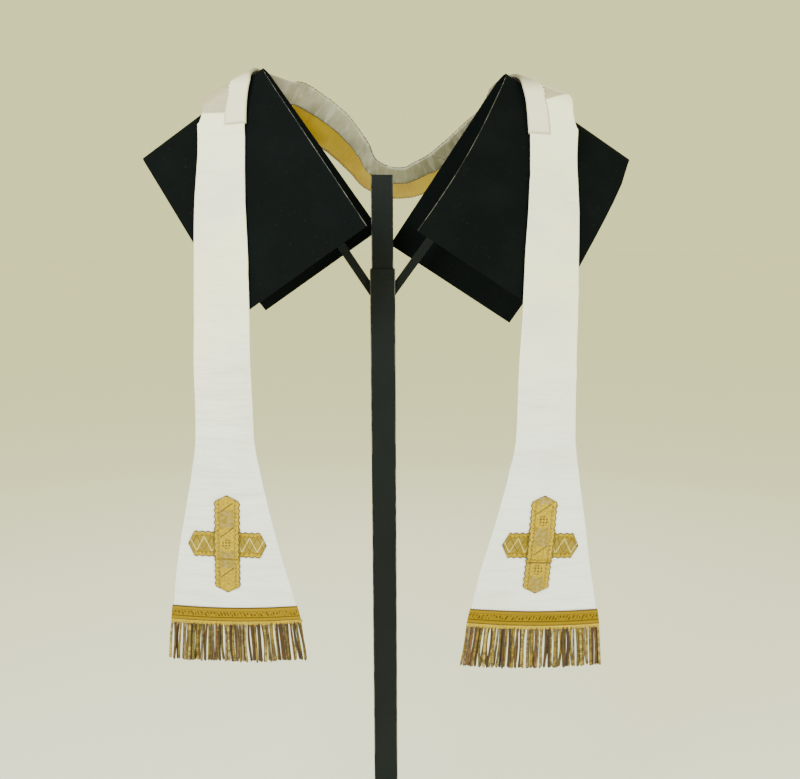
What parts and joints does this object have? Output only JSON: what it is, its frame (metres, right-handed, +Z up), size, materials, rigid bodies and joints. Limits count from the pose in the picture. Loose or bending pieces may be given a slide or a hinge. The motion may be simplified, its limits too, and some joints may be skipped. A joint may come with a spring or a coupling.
{
  "type": "clerical stole on a two-winged display stand",
  "caption": "Ivory silk clerical stole with flared ends, appliqued crosses, galloon and bullion fringe, hung over a black post stand with sloping shoulder wings.",
  "frame": {"origin": "on the floor, under the middle of the object's bounding box", "axes": "+Z up, the fronts of the stole and their crosses face -Y, +X to the viewer's right"},
  "size_m": [0.685, 0.39, 1.4577],
  "materials": {
    "black_steel": "matt black powder coat",
    "ivory_silk": "ribbed ivory silk with a soft sheen",
    "gold_lining": "plain gold-yellow lining silk",
    "guard_linen": "greyish white washed linen",
    "gold_galloon": "woven gold thread braid",
    "gold_fringe": "twisted gold, brown and grey bullion"
  },
  "bodies": {
    "root": {"base_plate": "black_steel", "post_lower": "black_steel", "post_upper": "black_steel", "strut_left": "black_steel", "strut_right": "black_steel", "wing_left": "black_steel", "wing_right": "black_steel", "silk_left": "ivory_silk", "silk_right": "ivory_silk", "lining_left": "gold_lining", "lining_right": "gold_lining", "neck_guard": "guard_linen", "galloon_left": "gold_galloon", "galloon_right": "gold_galloon", "cross_left_arms": "gold_galloon", "cross_left_upright": "gold_galloon", "cross_right_arms": "gold_galloon", "cross_right_upright": "gold_galloon", "cross_right_foot": "gold_galloon", "fringe_left": "gold_fringe", "fringe_right": "gold_fringe"}
  },
  "joints": []
}
